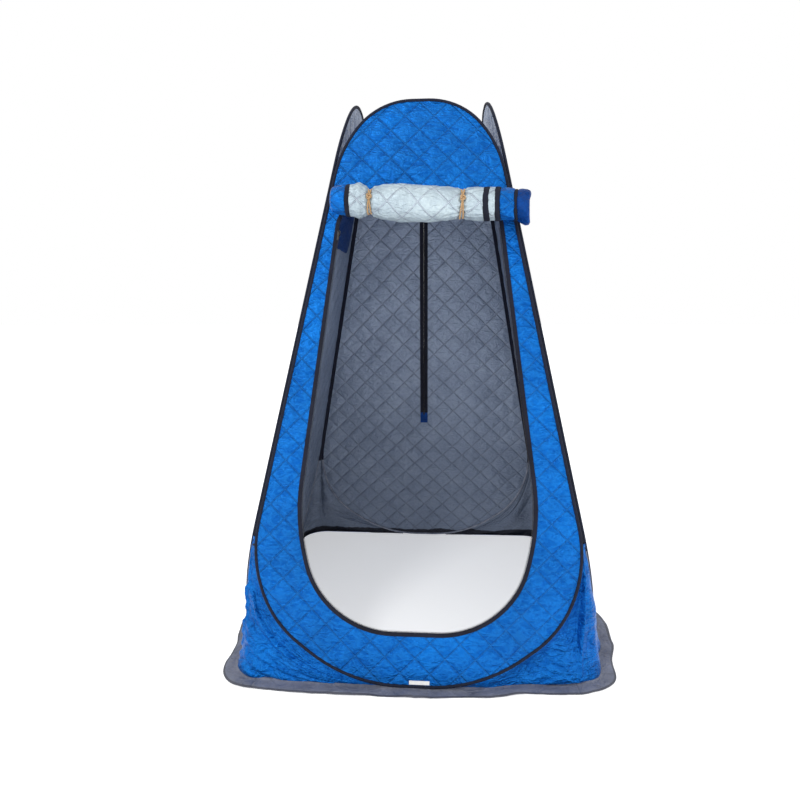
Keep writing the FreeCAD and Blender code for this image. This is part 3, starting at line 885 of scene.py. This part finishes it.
def seam_tape(label, near, far, body, looks):
    """Narrow tape behind a corner's piping, from inside one hem sleeve to inside the next."""
    v = np.linspace(*SEAM, 60)
    ends = []
    for wall, side in ((near, 1), (far, -1)):
        ends.append(to_row(np.stack([side * side_u(v), v, np.full(len(v), -0.003)], axis=1), wall))
    across = np.linspace(0, 1, 7)[None, :, None]
    grid = ends[0][:, None] * (1 - across) + ends[1][:, None] * across
    uv = np.stack(np.broadcast_arrays(across[..., 0] * 0.015, v[:, None]), axis=-1).reshape(-1, 2)
    return make_piece(f"{label}_seam_tape", grid.reshape(-1, 3), grid_faces(len(v), 7), uv, body,
                      [looks["binding"]], thickness=0.0008)


def foot_cloth(looks):
    """Skirt and loose corner cloth all round; the front right corner is split, since it opens in a fold."""
    corners = [("front_right", "front", "right", 1, -1), ("rear_right", "right", "rear", 1, 1),
               ("rear_left", "rear", "left", -1, 1), ("front_left", "left", "front", -1, -1)]
    run = BASE_HALF - FOOT_ROUND
    for index, (label, near, far, sx, sy) in enumerate(corners):
        middle = index * SIDE_LENGTH
        straight = (middle - run, middle + run)
        skirt_part(f"{near}_skirt_cloth", *straight, f"{near}_wall", [f"{near}_skirt"], looks)
        bend = (middle + run, middle + run + FOOT_ROUND * math.pi / 2)
        if label == "front_right":
            halfway = sum(bend) / 2
            seam_tape(label, near, far, "front_wall", looks)
            for wall, part, at, way, joint in (
                ("front", (bend[0], halfway), (run, -BASE_HALF, 0), (1, 0, 0), "front_fold"),
                ("right", (halfway, bend[1]), (BASE_HALF, -run, 0), (0, 1, 0), "right_fold"),
            ):
                turn = skirt_part(f"{wall}_skirt_corner_cloth", *part, f"{wall}_wall",
                                  [f"{wall}_skirt_corner"], looks)
                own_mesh(turn)
            ends = ((0.0, 0.15, "front", "front_gusset_right", "front_fold"),
                    (0.15, 0.5, "front", "front_gusset_right", "front_fold"),
                    (0.5, 0.85, "right", "right_gusset_front", "right_fold"),
                    (0.85, 1.0, "right", "right_gusset_front", "right_fold"))
            for start, end, wall, node, joint in ends:
                half = gusset(label, near, far, start, end, f"{wall}_wall", [node], looks)
                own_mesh(half)
        else:
            turn = skirt_part(f"{label}_skirt_corner_cloth", *bend, None, [f"{label}_skirt_corner"], looks)
            whole = gusset(label, near, far, 0.0, 1.0, None, [f"{label}_gusset"], looks)
            for piece in (turn, whole):
                blend_corner(piece)
            blend_corner(seam_tape(label, near, far, None, looks))


# ---------------------------------------------------------------- roof and vent

def roof(looks):
    """Four gores of roof cloth, sewn to the walls and sagging a little in the middle."""
    z = ROOF_V * COS
    half = BASE_HALF - z * TAN - ROOF_INSET
    rows = 40
    for wall in TURNS:
        points, uv = [], []
        for r in range(rows + 1):
            depth = r / rows
            for c in range(rows + 1):
                across = (2 * c / rows - 1) * (1 - depth)
                points.append((across * half, -(1 - depth) * half, 0))
                uv.append((across * half, depth * half))
        points = np.array(points)
        x, y = points[:, 0], points[:, 1]
        edge = 1 - np.maximum(np.abs(x), np.abs(y)) / half
        sag = 0.030 * smooth(edge, 0, 0.9) ** 0.7
        world = turned(points, wall)
        ripple = 0.006 * noise2(world[:, 0], world[:, 1], 0.085, 400) + 0.003 * crumple(
            world[:, 0], world[:, 1], 0.07, 401)
        points[:, 2] = z + 0.001 - sag + ripple * smooth(edge, 0, 0.2)
        faces = grid_faces(rows, rows + 1)
        last = (rows - 1) * (rows + 1)
        tip = rows * (rows + 1)
        faces += [(last + c, last + c + 1, tip) for c in range(rows)]
        piece = make_piece(f"{wall}_roof_cloth", turned(points[:tip + 1], wall), faces, uv[:tip + 1],
                           f"{wall}_wall", [looks["gusset_cloth"], looks["silver"]],
                           [f"{wall}_roof_gore"], thickness=0.001)
        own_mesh(piece)


def vent(looks):
    """Unlined dark blue cloth high inside the left wall, hemmed round its edge."""
    half, low, high = VENT
    ring = loop_points(mirrored([(half, low, 0.045), (half, high, 0.045)]), 0.0, 0.008)
    flat, faces = quilt_grid(ring, [], 0.008)
    rim = distance_to(flat, ring)
    u, v = flat[:, 0], flat[:, 1]
    belly = smooth(rim, 0.0, 0.08)
    hem = 0.0008 * (1 - smooth(rim, 0.007, 0.010))
    n = -0.0046 - hem - belly * (0.003 + 0.003 * noise2(u, v, 0.06, 500)) - 0.0012 * crumple(u, v, 0.05, 501)
    shaped = to_row(np.stack([u, v, n], axis=1), "left")
    piece = make_piece("left_vent_sheet", shaped, faces[:, ::-1], flat, "left_wall",
                       [looks["unlined_cloth"]], ["left_vent_cloth"], thickness=0.0006)


# ---------------------------------------------------------------- rolled door

def on_roll(points):
    """From an axis along x, with y up the wall and z out of it, to the roll's place."""
    (u0, v0), (u1, v1) = ROLL_AXIS
    tilt = math.atan2(v1 - v0, u1 - u0)
    x, y, z = points[:, 0], points[:, 1], points[:, 2]
    v_mid = v0 - u0 * (v1 - v0) / (u1 - u0)
    u = x * math.cos(tilt) - y * math.sin(tilt)
    v = v_mid + x * math.sin(tilt) + y * math.cos(tilt)
    return to_row(np.stack([u, v, ROLL_N + z], axis=1), "front")


def roll_radius(x):
    """Radius of the rolled door along its length, pinched by the two ties."""
    left, right = TIES_AT
    return eased([(-0.226, 0.046), (-0.205, 0.0480), (-0.184, 0.0530), (-0.166, 0.045), (left, 0.0310),
                  (-0.136, 0.044), (-0.106, 0.0515), (-0.050, 0.0560), (0.020, 0.0550), (0.085, 0.0500),
                  (0.118, 0.0455), (right, 0.0370), (0.154, 0.0460), (0.178, 0.0500), (0.205, 0.0490),
                  (0.256, 0.0480)], x)


def rolled(name, x_from, x_to, radius, inner, look, nodes, seed, rough):
    """A rolled stretch of cloth: an outer skin that turns in at both ends, closed inside."""
    fine = 1
    across = max(6, int((x_to - x_from) / (0.0026 * fine)))
    around = 160 // fine
    x_line = np.linspace(x_from, x_to, across + 1)
    turn = np.linspace(0, 2 * math.pi, around, endpoint=False)
    x, angle = np.meshgrid(x_line, turn, indexing="ij")
    wrap = angle * 0.05
    skin = radius(x)
    ties = np.exp(-np.abs(x - TIES_AT[0]) / 0.022) + np.exp(-np.abs(x - TIES_AT[1]) / 0.020)
    pleat = np.cos(angle * 13 + 2.2 * noise2(x, wrap, 0.03, seed)) * 0.0026 * ties
    around_noise = noise2(np.cos(angle) * 0.05 + x * 0.35, np.sin(angle) * 0.05 + x * 0.2, 0.022, seed + 1)
    along = crumple(x + 0.4, wrap * 1.6, 0.045, seed + 2) * np.abs(np.cos(angle / 2)) ** 0.2
    cell_a, cell_b = (x + wrap) / math.sqrt(2) / QUILT_PITCH, (x - wrap) / math.sqrt(2) / QUILT_PITCH
    dome = (np.abs(np.sin(np.pi * cell_a)) * np.abs(np.sin(np.pi * cell_b))) ** 0.5
    skin = skin + rough * (pleat + 0.0016 * around_noise + 0.0016 * along + 0.0022 * (dome - 0.6))
    end = np.minimum(x - x_from, x_to - x)
    skin = skin - 0.002 * (1 - smooth(end, 0.0, 0.004))
    sag = -0.004 * np.cos(np.clip(x / 0.30, -1, 1) * math.pi / 2) ** 2 - 0.010 * smooth(x, 0.300, 0.350)
    x = x - 0.010 * smooth(x, 0.150, 0.210) * np.maximum(np.sin(angle), 0)
    outer = np.stack([x, skin * np.cos(angle) + sag, skin * np.sin(angle)], axis=-1).reshape(-1, 3)
    uv = np.stack([x, wrap], axis=-1).reshape(-1, 2)
    caps, cap_uv = [], []
    depths = np.linspace(0, 1, 14)[1:]
    for way in (1, -1):
        edge = skin[0] if way > 0 else skin[-1]
        for depth in depths:
            r = edge * (1 - depth) + inner * depth
            spiral = 0.0022 * np.cos(2 * math.pi * depth * 5 - turn)
            dip = way * (0.004 * math.sin(math.pi * min(depth * 1.2, 1)) + 0.006 * depth)
            at = 0 if way > 0 else -1
            spot = x[at] + dip + way * spiral * math.sin(math.pi * depth) ** 0.3
            caps.append(np.stack([spot, r * np.cos(turn) + sag[at], r * np.sin(turn)], axis=1))
            cap_uv.append(np.stack([spot, r * 0 + depth * 0.03], axis=1))
    points = np.concatenate([outer] + caps)
    faces = [tuple(reversed(f)) for f in grid_faces(across + 1, around, closed=True)]
    base = len(outer)
    for index, first in ((0, 0), (1, across * around)):
        rings = [first] + [base + (index * len(depths) + k) * around for k in range(len(depths))]
        for a, b in zip(rings, rings[1:]):
            quads = [(a + c, a + (c + 1) % around, b + (c + 1) % around, b + c) for c in range(around)]
            faces += quads if index == 0 else [q[::-1] for q in quads]
        hub = [rings[-1] + c for c in range(around)]
        faces.append(tuple(hub) if index == 0 else tuple(hub[::-1]))
    piece = make_piece(name, on_roll(points), faces, np.concatenate([uv] + cap_uv), "front_wall",
                       [look], nodes)
    return piece


def bound_radius(x):
    return roll_radius(x) + 0.0022


def end_radius(*stops):
    """Radius along one end of the roll, straight between (place, radius) stops."""
    x, r = zip(*stops)
    return lambda at: np.interp(at, x, r)


def rolled_door(looks):
    """The door, rolled up with its silver side out: cloth, bindings and blue ends."""
    left = end_radius((-0.2760, 0.028), (-0.2700, 0.036), (-0.2560, 0.041), (-0.2250, 0.0445))
    right = end_radius((0.2550, 0.0455), (0.2700, 0.0465), (0.3020, 0.0455))
    end = end_radius((0.2990, 0.0462), (0.3100, 0.0462))
    flare = end_radius((0.3080, 0.0440), (0.3180, 0.0465), (0.3350, 0.0500), (0.3440, 0.0480),
                       (0.3480, 0.0430))
    silver, tape = ("lining", "roll"), ("zip_tape", "zip_tape")
    blue, dark = ("quilt_outer", "quilt_outer"), ("unlined_cloth", "unlined_cloth")
    # name, ends, radius, hub radius, slot and look, CAD nodes, fill, seed, roughness
    parts = (
        ("cloth", -0.2255, 0.2555, roll_radius, 0.010, silver, ["door_roll"], 0.7, 600, 1.0),
        ("left_binding", -0.2262, -0.2120, bound_radius, 0.040, tape, ["door_roll_left_tape"], 0.4, 620, 0.5),
        ("right_binding", 0.2050, 0.2240, bound_radius, 0.040, tape, ["door_roll_right_tapes"],
         0.4, 621, 0.5),
        ("outer_binding", 0.2400, 0.2565, bound_radius, 0.040, tape, [], 0.4, 622, 0.5),
        ("left_blue", -0.2750, -0.2250, left, 0.008, blue, ["door_roll_left_end"], 0.5, 630, 1.5),
        ("right_blue", 0.2550, 0.3010, right, 0.030, blue, ["door_roll_right_end"], 0.5, 640, 1.6),
        ("end_binding", 0.2990, 0.3100, end, 0.034, tape, [], 0.4, 641, 0.8),
        ("flared_end", 0.3080, 0.3470, flare, 0.010, dark, [], 0.3, 642, 2.4),
    )
    for name, start, stop, radius, hub, (slot, look), nodes, fill, seed, rough in parts:
        rolled(f"door_roll_{name}", start, stop, radius, hub, looks[look], nodes, seed, rough)


def tube(path, radius, section=8):
    """Points and quads of a closed round tube along a closed path."""
    path = np.asarray(path)
    ahead = np.roll(path, -1, axis=0) - np.roll(path, 1, axis=0)
    ahead = ahead / np.linalg.norm(ahead, axis=1)[:, None]
    side = np.cross(ahead, np.where(np.abs(ahead[:, :1]) > 0.9, [[0.0, 1.0, 0.0]], [[1.0, 0.0, 0.0]]))
    side = side / np.linalg.norm(side, axis=1)[:, None]
    other = np.cross(ahead, side)
    turn = np.linspace(0, 2 * math.pi, section, endpoint=False)
    ring = side[:, None] * np.cos(turn)[None, :, None] + other[:, None] * np.sin(turn)[None, :, None]
    points = (path[:, None] + radius * ring).reshape(-1, 3)
    quads = grid_faces(len(path), section, closed=True)
    last = (len(path) - 1) * section
    quads += [(last + j, last + (j + 1) % section, (j + 1) % section, j) for j in range(section)]
    return points, [tuple(reversed(q)) for q in quads]


def tie(name, x_at, radius, node, looks):
    """A tan cord twisted from two plies and wound twice round the roll, crossing itself in front."""
    angle = np.linspace(0, 2 * math.pi, 420, endpoint=False)
    paths = []
    for lean in (1, -1):
        for ply in (0, 1):
            twist = 26 * angle + ply * math.pi
            ring = radius + 0.0034 + 0.0012 * np.cos(twist) + (0.0016 if lean > 0 else 0.0)
            x = x_at + lean * 0.0050 * np.cos(angle) + 0.0012 * np.sin(twist)
            paths.append((np.stack([x, ring * np.cos(angle), ring * np.sin(angle)], axis=1), 0.0014))
    t = np.linspace(0, 2 * math.pi, 90, endpoint=False)
    wide = 2 + np.cos(3 * t)
    knot = np.stack([wide * np.cos(2 * t), wide * np.sin(2 * t), np.sin(3 * t)], axis=1)
    knot = knot * np.array([0.0024, 0.0030, 0.0024]) + np.array([x_at, 0.002, radius + 0.0085])
    paths.append((knot, 0.0019))
    points, faces, count = [], [], 0
    for path, thick in paths:
        part, quads = tube(path, thick)
        points.append(part)
        faces += [tuple(i + count for i in q) for q in quads]
        count += len(part)
    placed = on_roll(np.concatenate(points) + np.array([0, -0.003, 0]))
    return make_piece(name, placed, faces, np.zeros((count, 2)), "front_wall",
                      [looks["tie_cord"]], [node])


# ---------------------------------------------------------------- zips

def teeth(name, path, wall, n, size, pitch, node, looks, alternate=0.0):
    """Nylon teeth set across a path on a wall, each a small rounded lozenge."""
    lengths = run_length(path)
    spots = np.arange(pitch / 2, lengths[-1], pitch)
    at = np.stack([np.interp(spots, lengths, path[:, k]) for k in (0, 1)], axis=1)
    ahead = np.stack([np.interp(spots + 1e-4, lengths, path[:, k]) for k in (0, 1)], axis=1) - at
    ahead = ahead / np.linalg.norm(ahead, axis=1)[:, None]
    across = np.stack([-ahead[:, 1], ahead[:, 0]], axis=1)
    wide, long, tall = size
    shape = [(-1, -0.45), (-1, 0.45), (0, 1), (1, 0.7), (1, -0.7), (0, -1)]
    points, faces, uv = [], [], []
    for k in range(len(at)):
        base = len(points)
        shift = alternate * (1 if k % 2 else -1)
        for level, grow in ((-1, 0.8), (0, 1.0), (1, 0.65)):
            for w, l in shape:
                spot = at[k] + across[k] * (w * wide / 2 * grow + shift) + ahead[k] * (l * long / 2 * grow)
                points.append((spot[0], spot[1], n + level * tall / 2))
                uv.append((spot[0], spot[1]))
        for level in (0, 6):
            faces += [(base + level + j, base + level + (j + 1) % 6, base + level + 6 + (j + 1) % 6,
                       base + level + 6 + j) for j in range(6)]
        faces += [tuple(base + 12 + j for j in range(6)), tuple(base + j for j in reversed(range(6)))]
    make_piece(name, to_row(np.array(points), wall), faces, uv, f"{wall}_wall",
               [looks["zip_teeth"]], [node])


def zips(looks):
    """Teeth of the door's zip, round the doorway below the roll, and of the rear zip."""
    ring = loop_points(door_outline(), 0.0031, 0.004)
    start = int(np.argmin(np.hypot(ring[:, 0] + door_u(DOOR_ZIP_END), ring[:, 1] - DOOR_ZIP_END)))
    ring = np.roll(ring, -start, axis=0)
    ring = ring[ring[:, 1] < DOOR_ZIP_END]
    teeth("door_zip_coil", ring, "front", 0.0033, (0.0038, 0.0017, 0.0020), 0.0026, "door_zip_teeth", looks)
    line = np.array([(0.0, ZIP_LOW + 0.006), (0.0, ZIP_HIGH - 0.006)])
    teeth("rear_zip_coil", line, "rear", -0.0062, (0.0042, 0.0015, 0.0020), 0.0014, "rear_zip_teeth", looks,
          alternate=0.0008)


# ---------------------------------------------------------------- carried-over CAD nodes

def dress_nodes(looks):
    """Gives each CAD node that stays visible its own procedural material."""
    slots = {part["node"]: part["material_slot"] for part in frame["record"]["subparts"]}
    sleeves = {f"{wall}_hoop_sleeve": sleeve_material(wall) for wall in TURNS}
    for node, piece in frame["nodes"].items():
        look = sleeves.get(node, looks[slots[node]])
        piece.data.materials.clear()
        piece.data.materials.append(look)


looks = make_materials()
camera()
studio()
dress_nodes(looks)
for wall_name in TURNS:
    quilted_wall(wall_name, looks)
foot_cloth(looks)
roof(looks)
vent(looks)
rolled_door(looks)
for tie_side, tie_at, tie_radius in zip(("left", "right"), TIES_AT, (0.0320, 0.0380)):
    tie(f"door_tie_{tie_side}_cord", tie_at, tie_radius, f"door_tie_{tie_side}", looks)
zips(looks)
